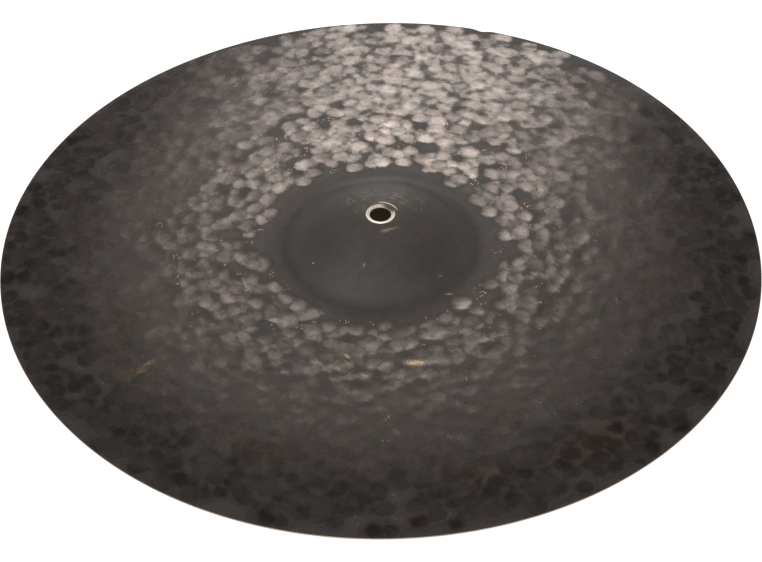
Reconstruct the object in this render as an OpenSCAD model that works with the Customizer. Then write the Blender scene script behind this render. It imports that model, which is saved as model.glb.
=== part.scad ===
// Crash cymbal: one plate of cast bronze, raised into a bell, a shallow bow and a thin rim.
// The section below is a chain of tangent arcs, swept round the vertical axis.
// Origin: the centre of the plane that the rim rests on. +Z runs up through the centre hole.

/* [Overall] */
// Diameter over the rim
cymbal_d = 457.2; // [406.4:25.4:508]
// Height of the bell's crown above the plane of the rim
crown_h = 40; // [34:1:46]

/* [Bow] */
// Slope of the bow where it meets the rim, in degrees
rim_slope = 8; // [6:0.5:9]

/* [Bell] */
// Radius of the bell's dome
dome_r = 75; // [65:1:85]
// Radius of the hollow curve between the bell and the bow
neck_r = 18; // [12:1:24]

/* [Metal] */
// Thickness of the metal at the centre hole
bell_t = 1.5; // [1.3:0.1:2]
// Thickness of the metal at the rim
rim_t = 0.8; // [0.7:0.1:1.2]
// Rounding of the two corners of the cut rim
rim_round = 0.2; // [0.1:0.05:0.3]

/* [Centre hole] */
// Diameter of the hole for the stand's sleeve
hole_d = 12.7; // [10:0.1:14]
// Diameter of the bevel where it meets the top of the bell
bevel_d = 17.2; // [16:0.1:20]
// Drop of the bevel from its outer edge to the wall of the hole
bevel_drop = 0.5; // [0.3:0.05:0.7]

/* [Hidden] */
$fn = 180;

// Steps in each arc of the section
dome_steps = 18;
neck_steps = 12;
bow_steps = 24;
corner_steps = 4;

patina = [0.24, 0.23, 0.22];

rim_r = cymbal_d / 2;
hole_r = hole_d / 2;

// Corners of the rim. The lower one touches z = 0
corner_x = rim_r - rim_round;
low_corner = [corner_x, rim_round];
high_corner = [corner_x, rim_round + (rim_t - 2 * rim_round) / cos(rim_slope)];

// The bow is an arc centred on the axis, tangent to the rim's upper corner
bow_end = high_corner + rim_round * heading(rim_slope);
bow_r = bow_end[0] / sin(rim_slope);
bow_c = [0, bow_end[1] - bow_r * cos(rim_slope)];

// The dome is an arc centred on the axis, under the crown
dome_c = [0, crown_h - dome_r];

// The neck is a hollow arc that touches both of them
dome_reach = dome_r + neck_r;
bow_reach = bow_r + neck_r;
neck_z = (bow_reach ^ 2 - dome_reach ^ 2 - bow_c[1] ^ 2 + dome_c[1] ^ 2)
    / (2 * (dome_c[1] - bow_c[1]));
neck_c = [sqrt(dome_reach ^ 2 - (neck_z - dome_c[1]) ^ 2), neck_z];

// Slope of the metal at each joint of the section, in degrees
bevel_slope = asin(bevel_d / 2 / dome_r);
dome_slope = asin(neck_c[0] / dome_reach);
bow_slope = asin(neck_c[0] / bow_reach);

// Upper and lower ends of the hole's wall
wall_top = dome_c[1] + dome_r * cos(bevel_slope) - bevel_drop;
wall_bottom = dome_c[1] + sqrt((dome_r - bell_t) ^ 2 - hole_r ^ 2);

// Direction at an angle from the vertical, which is also the normal of metal with that slope
function heading(a) = [sin(a), cos(a)];

// Thickness of the metal, which thins evenly from the hole to the rim
function metal_t(r) = bell_t + (rim_t - bell_t) * (r - hole_r) / (rim_r - hole_r);

// Point on an arc whose radius is negative where the metal is hollow, at a depth below the top
function arc_point(centre, radius, a, depth) = centre + (radius - depth) * heading(a);

// The arc's points for the steps that are listed, on the top of the metal
function top_arc(centre, radius, a0, a1, steps, list) = [
    for (i = list)
        arc_point(centre, radius, a0 + (a1 - a0) * i / steps, 0)
];

// The same on the underside, where the depth is the thickness of the metal
function under_arc(centre, radius, a0, a1, steps, list) = [
    for (i = list)
        let (a = a0 + (a1 - a0) * i / steps)
            arc_point(centre, radius, a, metal_t(centre[0] + radius * sin(a)))
];

// Section of the metal, from the hole over the top to the rim and back underneath
section = concat(
    [[hole_r, wall_top]],
    top_arc(dome_c, dome_r, bevel_slope, dome_slope, dome_steps, [0:dome_steps]),
    top_arc(neck_c, -neck_r, dome_slope, bow_slope, neck_steps, [1:neck_steps]),
    top_arc(bow_c, bow_r, bow_slope, rim_slope, bow_steps, [1:bow_steps]),
    top_arc(high_corner, rim_round, rim_slope, 90, corner_steps, [1:corner_steps]),
    top_arc(low_corner, rim_round, 90, 180 + rim_slope, corner_steps, [0:corner_steps]),
    under_arc(bow_c, bow_r, bow_slope, rim_slope, bow_steps, [bow_steps - 1:-1:0]),
    under_arc(neck_c, -neck_r, dome_slope, bow_slope, neck_steps, [neck_steps - 1:-1:0]),
    under_arc(dome_c, dome_r, bevel_slope, dome_slope, dome_steps, [dome_steps - 1:-1:0]),
    [[hole_r, wall_bottom]]
);

module cymbal() {
    color(patina)
        rotate_extrude()
            polygon(section);
}

cymbal();
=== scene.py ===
"""A hand-hammered crash cymbal in dark fired oxide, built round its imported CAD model.

The CAD plate gives the section of the metal. The visual plate is that section swept round the axis
in a fine mesh, with every hammer mark dished into it. Lengths are in metres unless a name says mm.
"""

import math
import random

import bpy
import numpy as np
from mathutils import Euler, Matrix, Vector


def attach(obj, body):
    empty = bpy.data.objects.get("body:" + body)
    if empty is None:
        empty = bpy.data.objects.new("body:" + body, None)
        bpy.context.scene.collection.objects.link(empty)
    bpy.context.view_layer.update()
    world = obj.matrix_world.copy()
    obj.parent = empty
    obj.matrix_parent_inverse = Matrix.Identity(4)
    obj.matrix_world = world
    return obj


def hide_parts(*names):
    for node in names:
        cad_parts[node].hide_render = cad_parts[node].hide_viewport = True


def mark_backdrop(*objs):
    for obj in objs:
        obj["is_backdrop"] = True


MM = 0.001
SEED = 18

# Mesh: distance between neighbouring points on the hammered top, the smooth bell and the underside
TOP_PITCH = 1.52 * MM
BELL_PITCH = 2.4 * MM
UNDER_PITCH = 3.8 * MM
ROW_RATIO = math.sqrt(3) / 2

# Hammering: how many blows, where they fall, the rows that the outer ones gather in, the places
# tried for each blow (the one furthest from the others is kept), and the dish that it leaves. A share
# of the blows is left out near the inner edge, which makes that edge ragged
HAMMER_COUNT = 2250
HAMMER_INNER = 70 * MM
HAMMER_RIM_GAP = 5 * MM
HAMMER_ROW = 8 * MM
HAMMER_TRIES = 2
ROW_PULL = 0.35
SPARSE_EDGE = 10 * MM
SPARSE_SHARE = 0.45
DISH_R = (5.2 * MM, 6.8 * MM)
DISH_R_OUTER = 1.15
DISH_DEPTH = (0.10 * MM, 0.25 * MM)
DISH_REACH = 1.6
DISH_STRETCH = 0.10
OUTER_SHALLOW = 0.35
UNDER_SHARE = 0.6

# What a blow does to the marks below it: how much of their depth it flattens, and how much of
# their edge still shows through
FLATTEN = 0.75
OLD_EDGE = 0.30

# The smooth bell ends here, and the finer mesh begins
BELL_R = 66 * MM

# Rim: the plate isn't quite true, and it has one small nick. Each wave is (lobes, height, turn)
RIM_WAVES = ((2, 1.2 * MM, 40), (3, 0.8 * MM, 170))
NICK_ANGLE = 73
NICK_WIDTH = 4 * MM
NICK_DEPTH = 1.6 * MM

# Wear marks on the top, each (x mm, y mm, turn in degrees, length mm, width mm).
# A rub's last value is how much of the oxide it has taken off
STAINS = ((-140, -100, 35, 24, 9), (20, -215, 0, 20, 8), (120, -160, 30, 60, 25),
          (-150, -60, 80, 40, 20), (60, -185, 10, 35, 15), (95, -60, -60, 25, 12),
          (-70, -165, -20, 40, 15))
RUBS = ((-140, -100, 35, 22, 6, 0.14), (-135, -95, 35, 9, 3, 0.35), (-140, -102, 35, 14, 1, 0.35),
        (20, -100, 5, 11, 4, 0.65), (-20, -100, -45, 15, 0.6, 0.2), (-20, -95, -40, 4, 2, 0.5),
        (-10, -110, -35, 5, 2, 0.5), (35, -35, 10, 3, 1, 0.3), (40, -45, 5, 4, 1, 0.6),
        (-40, -25, 20, 1.5, 1, 0.5), (-10, -35, 50, 3, 1, 0.35), (5, -13, 20, 9, 2.5, 0.3))

# Camera
CAMERA_ELEVATION = 42.9
CAMERA_ROLL = 0.5
CAMERA_DISTANCE = 2.046
CAMERA_AIM = (0.0, -0.0162, 0.0)
CAMERA_LENS = 161.3

# Brightness of the pale band of the studio, seen from the cymbal
BAND_RADIANCE = 1.0


# ---------------------------------------------------------------- the section of the metal

def cad_section(node):
    """Heights of the top and of the underside against radius, read from the CAD mesh."""
    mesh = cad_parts[node].data
    co = np.empty(len(mesh.vertices) * 3)
    mesh.vertices.foreach_get("co", co)
    co = co.reshape(-1, 3)
    radius = np.hypot(co[:, 0], co[:, 1])
    sides = []
    for sign in (1, -1):
        rings = {}
        for face in mesh.polygons:
            if face.normal.z * sign > 0.02:
                for v in face.vertices:
                    rings[round(radius[v], 5)] = co[v, 2]
        r = np.array(sorted(rings))
        sides.append((r, np.array([rings[k] for k in r])))
    return sides


def smoothstep(x, low, high):
    t = np.clip((x - low) / (high - low), 0, 1)
    return t * t * (3 - 2 * t)


# ---------------------------------------------------------------- hammer marks

def hammer_blows(rim_r):
    """Centre x and y, radius, depth, burnish, lie and wobble of every blow, scattered over the bow.

    The smith works round in rings, so the outer blows gather in loose rows.
    """
    rng = random.Random(SEED)
    outer = rim_r - HAMMER_RIM_GAP
    placed = np.full((HAMMER_COUNT, 2), 1.0)
    blows = []
    while len(blows) < HAMMER_COUNT:
        best = None
        for _ in range(HAMMER_TRIES):
            r = math.sqrt(rng.uniform(HAMMER_INNER ** 2, outer ** 2))
            turn = rng.uniform(0, 2 * math.pi)
            row = HAMMER_ROW * round(r / HAMMER_ROW)
            r += ROW_PULL * smoothstep(r, 90 * MM, 130 * MM) * (row - r)
            gap = np.hypot(*(placed - (r * math.cos(turn), r * math.sin(turn))).T).min()
            if best is None or gap > best[0]:
                best = (gap, r, turn)
        r, turn = best[1:]
        if r < HAMMER_INNER + SPARSE_EDGE and rng.random() < SPARSE_SHARE:
            continue
        placed[len(blows)] = (r * math.cos(turn), r * math.sin(turn))
        size = rng.uniform(*DISH_R) * (1 + (DISH_R_OUTER - 1) * smoothstep(r, 100 * MM, 180 * MM))
        depth = rng.uniform(*DISH_DEPTH) * (1.0 - OUTER_SHALLOW * smoothstep(r, 110 * MM, 145 * MM))
        shine = rng.random()
        lie = turn + math.pi / 2 + rng.gauss(0, 0.35)
        blows.append((*placed[len(blows)], size, depth, shine, lie, rng.uniform(0, 6.28)))
    return np.array(blows)


def strike(points, blows):
    """How deep each point lies, how far inside a dish's edge it is, and that dish's burnish.

    Each blow lands on the ones before it: it keeps a share of their depth and leaves its own edge.
    """
    order = np.argsort(points[:, 0])
    x = points[order, 0]
    y = points[order, 1]
    depth = np.zeros(len(x))
    inside = np.full(len(x), 1 - DISH_REACH ** 2)
    shine = np.zeros(len(x))
    for bx, by, size, dish, gloss, lie, wobble in blows:
        reach = size * DISH_REACH
        lo, hi = np.searchsorted(x, (bx - reach, bx + reach))
        dx = x[lo:hi] - bx
        dy = y[lo:hi] - by
        near = np.nonzero(np.abs(dy) < reach)[0]
        dx, dy = dx[near], dy[near]
        turn = np.arctan2(dy, dx)
        stretch = DISH_STRETCH * np.cos(2 * (turn - lie)) + 0.04 * np.sin(3 * turn + wobble)
        dish_in = 1 - (dx * dx + dy * dy) / (size * (1 + stretch)) ** 2
        index = near + lo
        fresh = (dish_in > 0) | (dish_in > inside[index])
        inside[index[fresh]] = np.maximum(dish_in[fresh], OLD_EDGE * inside[index[fresh]])
        shine[index[fresh]] = gloss
        hit = np.clip(dish_in, 0, 1)
        depth[index] = depth[index] * (1 - FLATTEN * hit) + dish * hit
    out = np.empty((3, len(x)))
    out[:, order] = depth, inside, shine
    return out


def soften(values, edges, share, rounds=3):
    """Let each point drift towards the mean of its neighbours, by its own share in each round."""
    a, b = edges.T
    count = np.bincount(a, minlength=len(values)) + np.bincount(b, minlength=len(values))
    for _ in range(rounds):
        near = np.bincount(a, values[b], len(values)) + np.bincount(b, values[a], len(values))
        values = values + share * (near / count - values)
    return values


def rim_wave(radius, turn, rim_r):
    """Lift of a plate that isn't quite true: nothing at the bell, most at the rim, never below 0."""
    around = np.linspace(0, 2 * math.pi, 720)

    def lift(t):
        return sum(h * np.cos(n * (t - math.radians(a))) for n, h, a in RIM_WAVES)

    share = smoothstep(radius, 0.3 * rim_r, 1.1 * rim_r) / smoothstep(rim_r, 0.3 * rim_r, 1.1 * rim_r)
    return (lift(turn) - lift(around).min()) * share


# ---------------------------------------------------------------- the mesh

def ring_points(radius, pitch, phase):
    count = max(24, round(2 * math.pi * radius / pitch))
    turn = (np.arange(count) + phase) * 2 * math.pi / count
    return np.column_stack((radius * np.cos(turn), radius * np.sin(turn)))


def stitch(ring_a, ring_b, flip):
    """Triangles between two rings of vertex indices that both start near angle 0."""
    faces = []
    na, nb = len(ring_a), len(ring_b)
    i = j = 0
    while i < na or j < nb:
        if j == nb or (i < na and (i + 1) * nb <= (j + 1) * na):
            tri = (ring_a[i % na], ring_b[j % nb], ring_a[(i + 1) % na])
            i += 1
        else:
            tri = (ring_a[i % na], ring_b[j % nb], ring_b[(j + 1) % nb])
            j += 1
        faces.append(tri[::-1] if flip else tri)
    return faces


def spaced(start, end, pitch):
    """Radii from start to end, not counting start, in even steps near the pitch."""
    steps = max(1, round(abs(end - start) / pitch))
    return [start + (end - start) * (k + 1) / steps for k in range(steps)]


def plate_rings(hole_r, bevel_r, rim_r):
    """(radius, pitch, side, group) of each ring, from the hole over the top and back underneath."""
    fine = 1.0 * MM
    rings = [(hole_r, fine, "top", "bevel")]
    rings += [(r, fine, "top", "bevel") for r in spaced(hole_r, bevel_r - 0.1 * MM, 0.6 * MM)]
    rings += [(bevel_r + 0.12 * MM, fine, "top", "face")]
    rings += [(r, 1.4 * MM, "top", "face") for r in spaced(bevel_r, bevel_r + 6 * MM, 1.3 * MM)[1:]]
    start = bevel_r + 6 * MM
    rings += [(r, BELL_PITCH, "top", "face") for r in spaced(start, BELL_R, BELL_PITCH * ROW_RATIO)]
    last = rim_r - 1.0 * MM
    rings += [(r, TOP_PITCH, "top", "face") for r in spaced(BELL_R, last, TOP_PITCH * ROW_RATIO)]
    corner = [(rim_r - g * MM, TOP_PITCH) for g in (0.5, 0.2, 0.06, 0.0)]
    rings += [(r, p, "top", "face" if r < rim_r - 0.1 * MM else "edge") for r, p in corner]
    rings += [(r, p, "under", "edge") for r, p in reversed(corner)]
    rings += [(r, UNDER_PITCH, "under", "face")
              for r in spaced(rim_r - 1.5 * MM, hole_r + 2 * MM, UNDER_PITCH * ROW_RATIO)]
    rings += [(r, fine, "under", "face") for r in spaced(hole_r + 2 * MM, hole_r, 1 * MM)]
    return rings


def lay_out(mesh, rings, ring_index, face_count):
    """UV layout: the top and the underside as two flat discs, so that marks keep their shape."""
    first_under = next(k for k, ring in enumerate(rings) if ring[2] == "under")
    rim = rings[first_under][0]
    ring_of = np.concatenate([np.full(len(index), k) for k, index in enumerate(ring_index)])
    corner = np.empty(face_count * 3, dtype=np.int64)
    mesh.loops.foreach_get("vertex_index", corner)
    ring = ring_of[corner].reshape(-1, 3)
    on_top = (ring.min(axis=1) < first_under) & (ring.max(axis=1) <= first_under)
    co = np.empty(len(mesh.vertices) * 3)
    mesh.vertices.foreach_get("co", co)
    co = co.reshape(-1, 3)[corner]
    radius = np.hypot(co[:, 0], co[:, 1])
    extra = np.where(ring.reshape(-1) == first_under, 1.0 * MM, 0)
    top = np.repeat(on_top, 3)
    spread = (radius + np.where(top, extra, 0)) / radius / (rim + 2 * MM)
    middle = np.where(top, 0.365, 0.785)
    reach = np.where(top, 0.36, 0.21)
    side = np.where(top, 1, -1)
    uv = np.column_stack((middle + co[:, 0] * side * spread * reach, middle + co[:, 1] * spread * reach))
    layer = mesh.uv_layers.new(name="OFBake")
    layer.data.foreach_set("uv", uv.astype(np.float32).ravel())


def build_plate(name):
    """The whole cymbal as one closed mesh, with its dents and the marks that the materials read."""
    (top_r, top_z), (under_r, under_z) = cad_section("cymbal")
    hole_r, rim_r = top_r[0], top_r[-1]
    bevel_r = top_r[1]
    rings = plate_rings(hole_r, bevel_r, rim_r)

    flat, heights, ring_index, is_top = [], [], [], []
    for k, (r, pitch, side, _) in enumerate(rings):
        points = ring_points(r, pitch, 0.5 * (k % 2))
        z = np.interp(r, top_r, top_z) if side == "top" else np.interp(r, under_r, under_z)
        start = sum(len(f) for f in flat)
        flat.append(points)
        heights.append(np.full(len(points), z))
        is_top.append(np.full(len(points), side == "top"))
        ring_index.append(np.arange(start, start + len(points)))
    flat = np.vstack(flat)
    height = np.concatenate(heights)
    is_top = np.concatenate(is_top)

    depth, inside, shine = strike(flat, hammer_blows(rim_r))
    radius = np.hypot(flat[:, 0], flat[:, 1])
    turn = np.arctan2(flat[:, 1], flat[:, 0])
    height = height - depth * np.where(is_top, 1, UNDER_SHARE) + rim_wave(radius, turn, rim_r)
    off = (turn - math.radians(NICK_ANGLE)) * radius / NICK_WIDTH
    bite = NICK_DEPTH * np.exp(-off ** 2) * smoothstep(radius, rim_r - 9 * MM, rim_r)
    scale = 1 - bite / radius
    verts = np.column_stack((flat * scale[:, None], height))

    faces, groups = [], []
    loops = list(zip(ring_index, rings))
    for (a, ring_a), (b, ring_b) in zip(loops, loops[1:] + loops[:1]):
        strip = stitch(a.tolist(), b.tolist(), True)
        faces += strip
        bare = "edge" in (ring_a[3], ring_b[3]) and ring_a[0] >= rim_r - 0.3 * MM
        bare = bare and ring_b[0] >= rim_r - 0.3 * MM
        bevel = ring_a[3] == "bevel" or ring_b[3] == "bevel"
        groups += [1 if (bare or bevel) else 0] * len(strip)

    mesh = bpy.data.meshes.new(name)
    mesh.from_pydata(verts.tolist(), [], faces)
    mesh.polygons.foreach_set("material_index", groups)
    mesh.polygons.foreach_set("use_smooth", [True] * len(faces))
    edges = np.empty(len(mesh.edges) * 2, dtype=np.int64)
    mesh.edges.foreach_get("vertices", edges)
    share = 0.10 + 0.30 * smoothstep(radius, 95 * MM, 160 * MM)
    for label, values in (("dent", inside), ("shine", shine)):
        mark = mesh.attributes.new(label, "FLOAT", "POINT")
        mark.data.foreach_set("value", soften(values, edges.reshape(-1, 2), share).astype(np.float32))
    lay_out(mesh, rings, ring_index, len(faces))
    mesh.update()
    plate = bpy.data.objects.new(name, mesh)
    bpy.context.scene.collection.objects.link(plate)
    return plate


# ---------------------------------------------------------------- material helpers

class Graph:
    """Short calls for building the node tree of a material or of the world."""

    def __init__(self, owner, shader="Principled BSDF"):
        self.owner = owner
        owner.use_nodes = True
        self.tree = owner.node_tree
        self.shader = self.tree.nodes[shader]

    def add(self, kind, inputs=None, **settings):
        node = self.tree.nodes.new(kind)
        for key, value in settings.items():
            setattr(node, key, value)
        for key, value in (inputs or {}).items():
            self.put(node.inputs[key], value)
        return node

    def put(self, socket, value):
        if isinstance(value, bpy.types.NodeSocket):
            self.tree.links.new(value, socket)
        else:
            socket.default_value = value

    def math(self, operation, a, b=0.0, clamp=False):
        node = self.add("ShaderNodeMath", {0: a, 1: b}, operation=operation, use_clamp=clamp)
        return node.outputs[0]

    def ramp(self, value, low, high, out_low=0.0, out_high=1.0):
        node = self.add("ShaderNodeMapRange", interpolation_type="SMOOTHSTEP")
        for key, number in zip(("Value", "From Min", "From Max", "To Min", "To Max"),
                               (value, low, high, out_low, out_high)):
            self.put(node.inputs[key], number)
        return node.outputs[0]

    def mix(self, share, a, b):
        node = self.add("ShaderNodeMix", data_type="RGBA")
        for socket, value in zip((node.inputs[0], node.inputs[6], node.inputs[7]), (share, a, b)):
            self.put(socket, value)
        return node.outputs[2]

    def vector(self, operation, a, b=(0.0, 0.0, 0.0)):
        node = self.add("ShaderNodeVectorMath", {0: a, 1: b}, operation=operation)
        return node.outputs["Value" if operation == "LENGTH" else "Vector"]

    def scaled(self, shade, factor):
        node = self.add("ShaderNodeVectorMath", {0: shade, "Scale": factor}, operation="SCALE")
        return node.outputs["Vector"]

    def noise(self, vector, scale, detail=2.0, rough=0.5):
        node = self.add("ShaderNodeTexNoise", {"Vector": vector, "Scale": scale, "Detail": detail,
                                               "Roughness": rough})
        return node.outputs["Fac"]

    def dots(self, flat, scale, keep):
        """Round specks, one to a cell of a scattered pattern, in the share of cells that is kept."""
        cells = self.add("ShaderNodeTexVoronoi", {"Vector": flat, "Scale": scale},
                         voronoi_dimensions="2D")
        chance = self.add("ShaderNodeSeparateColor", {0: cells.outputs["Color"]}).outputs[0]
        speck = self.ramp(cells.outputs["Distance"], 0.30, 0.18)
        return self.math("MULTIPLY", speck, self.math("LESS_THAN", chance, keep))

    def spot(self, flat, mark, ragged, soft=0.5):
        """Mask of an oval mark given as (x mm, y mm, turn in degrees, length mm, width mm)."""
        x, y, turn, length, width = mark[:5]
        node = self.add("ShaderNodeMapping", {"Vector": flat}, vector_type="TEXTURE")
        node.inputs["Location"].default_value = (x * MM, y * MM, 0)
        node.inputs["Rotation"].default_value = (0, 0, math.radians(turn))
        node.inputs["Scale"].default_value = (length * MM / 2, width * MM / 2, 1)
        away = self.math("ADD", self.vector("LENGTH", node.outputs[0]), ragged)
        return self.ramp(away, 1 + soft / 2, 1 - soft)

    def turned(self, radius, flat):
        """Radius and direction as a vector, so that a noise of it makes arcs round the axis."""
        way = self.vector("NORMALIZE", flat)
        ring = self.add("ShaderNodeCombineXYZ", {"Z": self.math("MULTIPLY", radius, 45)})
        return self.vector("ADD", self.scaled(way, 0.05), ring.outputs[0])

    def strongest(self, masks):
        total = masks[0]
        for mask in masks[1:]:
            total = self.math("MAXIMUM", total, mask)
        return total

    def mark(self, name):
        return self.add("ShaderNodeAttribute", attribute_name=name).outputs["Fac"]

    def shade(self, **sockets):
        for key, value in sockets.items():
            self.put(self.shader.inputs[key.replace("_", " ")], value)


def colour(r, g, b):
    return (r, g, b, 1.0)


# ---------------------------------------------------------------- materials

def fired_bronze():
    """Dark matt oxide, with the hammer marks burnished towards bare metal, and small wear marks."""
    g = Graph(bpy.data.materials.new("fired_bronze"))
    flat = g.vector("MULTIPLY", g.add("ShaderNodeTexCoord").outputs["Object"], (1, 1, 0))
    radius = g.vector("LENGTH", flat)
    grain = g.noise(flat, 1100, 3, 0.6)
    cloud = g.noise(flat, 190, 4, 0.6)
    patch = g.noise(flat, 24, 3, 0.55)
    stain = g.noise(flat, 47, 4, 0.6)
    smear = g.noise(flat, 66, 3, 0.6)

    # Hammer marks: soft at the edge, uneven inside, and each with its own burnish
    ragged = g.math("MULTIPLY", g.math("SUBTRACT", cloud, 0.5), 0.8)
    ragged = g.math("ADD", ragged, g.math("MULTIPLY", g.math("SUBTRACT", grain, 0.5), 0.35))
    edge = g.math("ADD", g.mark("dent"), ragged)
    dished = g.ramp(edge, -0.20, 0.92)
    worn = g.math("MULTIPLY", g.ramp(cloud, 0.3, 0.7, 0.70, 1.0), g.ramp(grain, 0.3, 0.7, 0.90, 1.0))
    worn = g.math("MULTIPLY", worn, g.ramp(smear, 0.36, 0.62, 0.62, 1.0))
    share = g.math("MULTIPLY", g.ramp(g.mark("shine"), 0, 1, 0.55, 1.05), worn)
    share = g.math("MULTIPLY", share, g.ramp(radius, 0.105, 0.135, 0.88, 0.64))
    struck = g.math("MULTIPLY", g.ramp(radius, 0.064, 0.072), g.ramp(radius, 0.224, 0.215))
    haze = g.math("MULTIPLY", struck, g.ramp(smear, 0.35, 0.65, 0.03, 0.10))
    haze = g.math("MULTIPLY", haze, g.ramp(radius, 0.120, 0.180, 1.0, 1.5))
    burnish = g.math("MAXIMUM", g.math("MULTIPLY", dished, share), haze, clamp=True)

    # Oxide: grey-brown, with olive and rusty clouds. It is made darker towards the rim and inside each
    # mark; the bell's steep flanks, most to the left and right, and a thin line round each mark's edge
    # are darkened as painted shade
    oxide = g.mix(g.ramp(patch, 0.35, 0.65), colour(0.0530, 0.0470, 0.0430),
                  colour(0.0615, 0.0537, 0.0502))
    oxide = g.mix(g.ramp(stain, 0.54, 0.68, 0, 0.55), oxide, colour(0.068, 0.045, 0.038))
    oxide = g.mix(g.ramp(stain, 0.46, 0.32, 0, 0.5), oxide, colour(0.050, 0.051, 0.036))
    rust = g.math("MULTIPLY", g.ramp(cloud, 0.56, 0.70, 0, 0.5), g.ramp(radius, 0.120, 0.180))
    oxide = g.mix(rust, oxide, colour(0.075, 0.046, 0.034))
    shade = g.math("MULTIPLY", g.ramp(radius, 0.140, 0.205, 1.0, 0.70),
                   g.ramp(grain, 0.3, 0.7, 0.88, 1.12))
    shade = g.math("MULTIPLY", shade, g.ramp(cloud, 0.3, 0.7, 0.9, 1.1))
    # Painted shade: the bell's steep flanks are darkened, twice as much to the left and right as at the
    # front and back
    side = g.add("ShaderNodeSeparateXYZ", {0: g.vector("NORMALIZE", flat)}).outputs["X"]
    painted_flank_shade = g.math("MULTIPLY", g.ramp(radius, 0.022, 0.042), g.ramp(radius, 0.068, 0.044))
    painted_flank_shade = g.math("MULTIPLY", painted_flank_shade, g.ramp(g.math("ABSOLUTE", side), 0.25, 1.0, 0.17, 0.34))
    shade = g.math("MULTIPLY", shade, g.math("SUBTRACT", 1.0, painted_flank_shade))
    # Painted shade: a thin dark line round the edge of every hammer mark, like the shade at a dent's lip
    mark_edge_shade = g.math("MULTIPLY", g.ramp(edge, -0.55, -0.15), g.ramp(edge, 0.15, -0.10))
    shade = g.math("MULTIPLY", shade, g.math("SUBTRACT", 1.0, g.math("MULTIPLY", mark_edge_shade, 0.28)))
    fall = g.math("MULTIPLY", g.ramp(edge, -0.40, 0.75), g.ramp(radius, 0.150, 0.205, 0.20, 0.80))
    fall = g.math("MULTIPLY", fall, g.ramp(g.mark("shine"), 0, 1, 1.0, 0.7))
    fall = g.math("MULTIPLY", fall, g.ramp(smear, 0.36, 0.62, 1.1, 0.75))
    dull = g.math("SUBTRACT", 1.0, fall)
    dull = g.math("MULTIPLY", dull, g.math("SUBTRACT", 1.0, g.math("MULTIPLY", burnish, 0.4)))
    base = g.scaled(oxide, g.math("MULTIPLY", shade, dull))

    metal = g.mix(burnish, colour(0, 0, 0), colour(0.33, 0.284, 0.263))
    both = g.vector("ADD", base, metal)
    bright = g.math("MULTIPLY", burnish, 0.292)
    metallic = g.math("DIVIDE", bright, g.math("ADD", bright, g.math("MULTIPLY", dull, 0.055)))
    rough = g.ramp(burnish, 0.02, 0.25, 0.50, 0.25)

    # Stains where the heat browned the oxide, and gold where a knock or a rub has bared the bronze
    broken = g.math("MULTIPLY", g.math("SUBTRACT", cloud, 0.5), 2.4)
    brown = g.strongest([g.spot(flat, mark, broken, 0.9) for mark in STAINS])
    both = g.mix(g.math("MULTIPLY", brown, 0.45), both, colour(0.085, 0.055, 0.038))
    # Painted sheen: a pale band at the back of the bell's foot, where its flank catches the light
    painted_bell_sheen = g.spot(flat, (-5, 55, 10, 35, 10), broken, 0.9)
    both = g.mix(g.math("MULTIPLY", painted_bell_sheen, 0.8), both, colour(0.105, 0.086, 0.080))
    speckle = g.noise(flat, 2300, 1, 0.5)
    clusters = g.math("MULTIPLY", struck, g.ramp(g.noise(flat, 95, 3, 0.6), 0.55, 0.63))
    clusters = g.math("MULTIPLY", clusters, g.ramp(radius, 0.120, 0.190, 1.0, 0.30))
    gaps = g.math("SUBTRACT", 1.0, g.ramp(edge, 0.1, 0.4))
    flecks = g.math("MULTIPLY", g.math("MULTIPLY", clusters, gaps), g.dots(flat, 620, 0.40))
    fine = g.math("ADD", broken, g.math("MULTIPLY", g.math("SUBTRACT", grain, 0.5), 4.0))
    rubs = g.strongest([g.math("MULTIPLY", g.spot(flat, mark, fine, 0.8), mark[5]) for mark in RUBS])
    scuffs = g.math("MULTIPLY", g.ramp(g.noise(g.turned(radius, flat), 40, 3, 0.6), 0.52, 0.70),
                    g.spot(flat, (3, 17, 0, 52, 26), fine, 0.9))
    scuffs = g.math("MULTIPLY", scuffs, g.math("MULTIPLY", g.ramp(speckle, 0.38, 0.58),
                                               g.ramp(g.noise(flat, 130, 2, 0.5), 0.43, 0.54)))
    off_ring = g.math("ABSOLUTE", g.math("SUBTRACT", radius, 0.0107))
    arc = g.math("MULTIPLY", g.ramp(off_ring, 0.0006, 0.0002),
                 g.spot(flat, (5, 9, -30, 13, 7), broken, 0.3))
    bare = g.strongest([flecks, rubs, scuffs, arc])
    both = g.mix(bare, both, colour(0.80, 0.59, 0.35))
    metallic = g.math("MAXIMUM", metallic, g.math("MULTIPLY", bare, 0.65))
    g.shade(Base_Color=both, Metallic=metallic, Roughness=rough, IOR=1.5, Specular_IOR_Level=0.37)
    bump = g.add("ShaderNodeBump", {"Height": grain, "Strength": 0.25, "Distance": 0.00015})
    g.shade(Normal=bump.outputs[0])
    return g.owner


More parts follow.
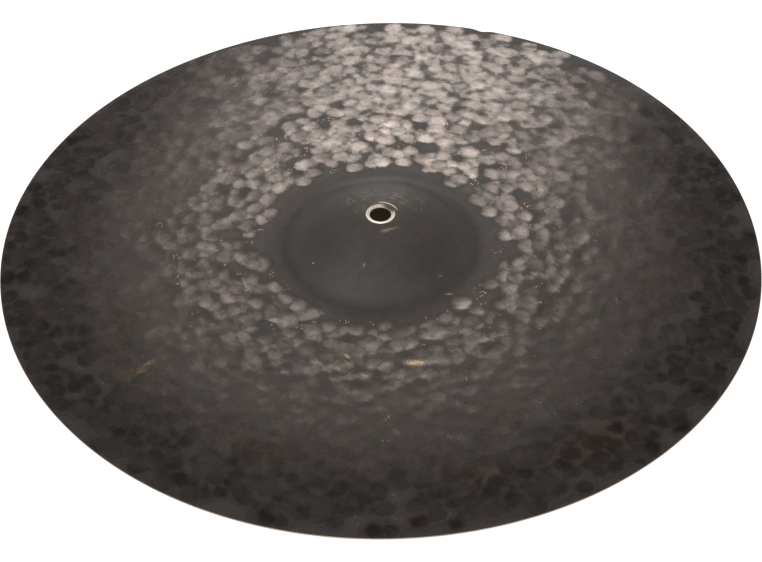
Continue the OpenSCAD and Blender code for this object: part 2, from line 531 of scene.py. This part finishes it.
def bare_bronze():
    """Cut metal at the hole's bevel and the rim, where no oxide took."""
    g = Graph(bpy.data.materials.new("bare_bronze"))
    place = g.add("ShaderNodeTexCoord").outputs["Object"]
    grain = g.noise(place, 1500, 3, 0.6)
    cloud = g.noise(place, 220, 3, 0.6)
    tarnish_and_painted_shade = g.mix(g.ramp(cloud, 0.35, 0.7), colour(1.0, 0.96, 0.89), colour(0.86, 0.75, 0.58))
    # Painted shade: a dark patch on the back right of the hole's bevel
    bevel_painted_shade = g.spot(place, (6, 6.5, -45, 15, 7.5), g.math("SUBTRACT", cloud, 0.5), 0.6)
    tarnish_and_painted_shade = g.mix(bevel_painted_shade, tarnish_and_painted_shade, colour(0.13, 0.115, 0.105))
    across = g.vector("LENGTH", g.vector("MULTIPLY", place, (1, 1, 0)))
    tarnish_and_painted_shade = g.mix(g.ramp(across, 0.05, 0.15), tarnish_and_painted_shade, colour(0.34, 0.25, 0.17))
    tarnish_and_painted_shade = g.mix(g.ramp(across, 0.0066, 0.00638), tarnish_and_painted_shade, colour(0.30, 0.20, 0.11))
    g.shade(Base_Color=tarnish_and_painted_shade, Metallic=0.6, Roughness=g.ramp(grain, 0.3, 0.7, 0.38, 0.52))
    return g.owner


def pale_floor():
    """White board that glows like a light table so that it stays even, but hardly under the cymbal."""
    g = Graph(bpy.data.materials.new("pale_floor"))
    place = g.add("ShaderNodeTexCoord").outputs["Object"]
    glow = g.ramp(g.vector("LENGTH", place), 0.15, 0.20, 0.013, 0.85)
    g.shade(Base_Color=colour(0.5, 0.5, 0.5), Roughness=0.9)
    tint = g.mix(g.ramp(g.vector("LENGTH", place), 0.15, 0.20), colour(1, 0.72, 0.5), colour(1, 1, 1))
    g.shade(Emission_Color=tint, Emission_Strength=glow)
    return g.owner


# ---------------------------------------------------------------- stage, light and camera

def build_floor():
    bpy.ops.mesh.primitive_circle_add(vertices=96, radius=40, fill_type="NGON")
    floor = bpy.context.object
    floor.name = "floor"
    floor.data.materials.append(pale_floor())
    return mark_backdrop(floor)


def add_sun(name, azimuth, elevation, strength, angle):
    """A broad lamp far away. Azimuth 0 is on the camera's side, and it grows to the right."""
    light = bpy.data.lights.new(name, "SUN")
    light.energy = strength
    light.color = (1.0, 0.975, 0.95)
    light.angle = math.radians(angle)
    lamp = bpy.data.objects.new(name, light)
    lamp.rotation_euler = Euler((math.radians(90 - elevation), 0, math.radians(azimuth)))
    bpy.context.scene.collection.objects.link(lamp)


def add_softbox(name, azimuth, elevation, distance, size, radiance):
    """A flat lamp that faces the origin. Azimuth 0 is behind the cymbal, seen from the camera."""
    light = bpy.data.lights.new(name, "AREA")
    light.shape = "RECTANGLE"
    light.size, light.size_y = size
    light.energy = radiance * math.pi * size[0] * size[1]
    light.color = (1.0, 0.955, 0.92)
    lamp = bpy.data.objects.new(name, light)
    e, a = math.radians(elevation), math.radians(azimuth)
    spot = Vector((math.cos(e) * math.sin(a), math.cos(e) * math.cos(a), math.sin(e))) * distance
    lamp.location = spot
    lamp.rotation_euler = spot.to_track_quat("Z", "Y").to_euler()
    lamp.visible_camera = False
    bpy.context.scene.collection.objects.link(lamp)


def build_world():
    """A dim room with a pale horizon, and a soft pale band all round except behind the cymbal."""
    g = Graph(bpy.data.worlds.new("studio"), "Background")
    way = g.add("ShaderNodeTexCoord").outputs["Generated"]
    split = g.add("ShaderNodeSeparateXYZ", {0: way})
    height = split.outputs["Z"]
    band = g.math("MULTIPLY", g.ramp(height, 0.18, 0.30), g.ramp(height, 0.68, 0.55))
    side = g.ramp(g.math("ABSOLUTE", split.outputs["X"]), 0.42, 0.62)
    ahead = g.ramp(split.outputs["Y"], 0.4, 0.0)
    band = g.math("MULTIPLY", band, g.math("MULTIPLY", g.math("MAXIMUM", side, ahead), BAND_RADIANCE))
    horizon = g.ramp(height, 0.16, 0.08, 0.02, 0.75)
    g.shade(Color=colour(1, 0.985, 0.97), Strength=g.math("ADD", band, horizon))
    bpy.context.scene.world = g.owner


def build_light():
    add_sun("left", -60, 55, 0.95, 50)
    add_sun("right", 60, 55, 0.12, 50)
    add_sun("front", 0, 50, 0.75, 60)
    add_softbox("strip_low", 1.9, 23.5, 3.5, (0.82, 1.17), 4.8)
    add_softbox("strip", 0.4, 36.7, 3.5, (0.88, 0.45), 2.25)
    add_softbox("strip_top", -0.7, 44.5, 3.5, (1.0, 0.5), 2.45)
    build_world()
    bpy.context.scene.view_settings.view_transform = "Standard"


def build_camera():
    data = bpy.data.cameras.new("camera")
    data.lens = CAMERA_LENS
    data.clip_end = 100
    camera = bpy.data.objects.new("camera", data)
    e = math.radians(CAMERA_ELEVATION)
    camera.location = Vector(CAMERA_AIM) + CAMERA_DISTANCE * Vector((0, -math.cos(e), math.sin(e)))
    look = Euler((math.pi / 2 - e, 0, 0)).to_matrix()
    roll = Euler((0, 0, math.radians(-CAMERA_ROLL))).to_matrix()
    camera.rotation_euler = (look @ roll).to_euler()
    bpy.context.scene.collection.objects.link(camera)
    bpy.context.scene.camera = camera


# ---------------------------------------------------------------- the scene

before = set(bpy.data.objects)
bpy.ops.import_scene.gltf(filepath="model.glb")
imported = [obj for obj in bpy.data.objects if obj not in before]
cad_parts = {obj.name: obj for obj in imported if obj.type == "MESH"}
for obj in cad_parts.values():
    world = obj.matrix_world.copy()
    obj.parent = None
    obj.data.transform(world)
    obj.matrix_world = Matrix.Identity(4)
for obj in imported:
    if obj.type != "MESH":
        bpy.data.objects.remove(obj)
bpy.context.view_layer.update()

build_camera()
build_light()
build_floor()

cymbal = build_plate("hammered_plate")
cymbal.data.materials.append(fired_bronze())
cymbal.data.materials.append(bare_bronze())
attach(cymbal, "root")
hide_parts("cymbal")
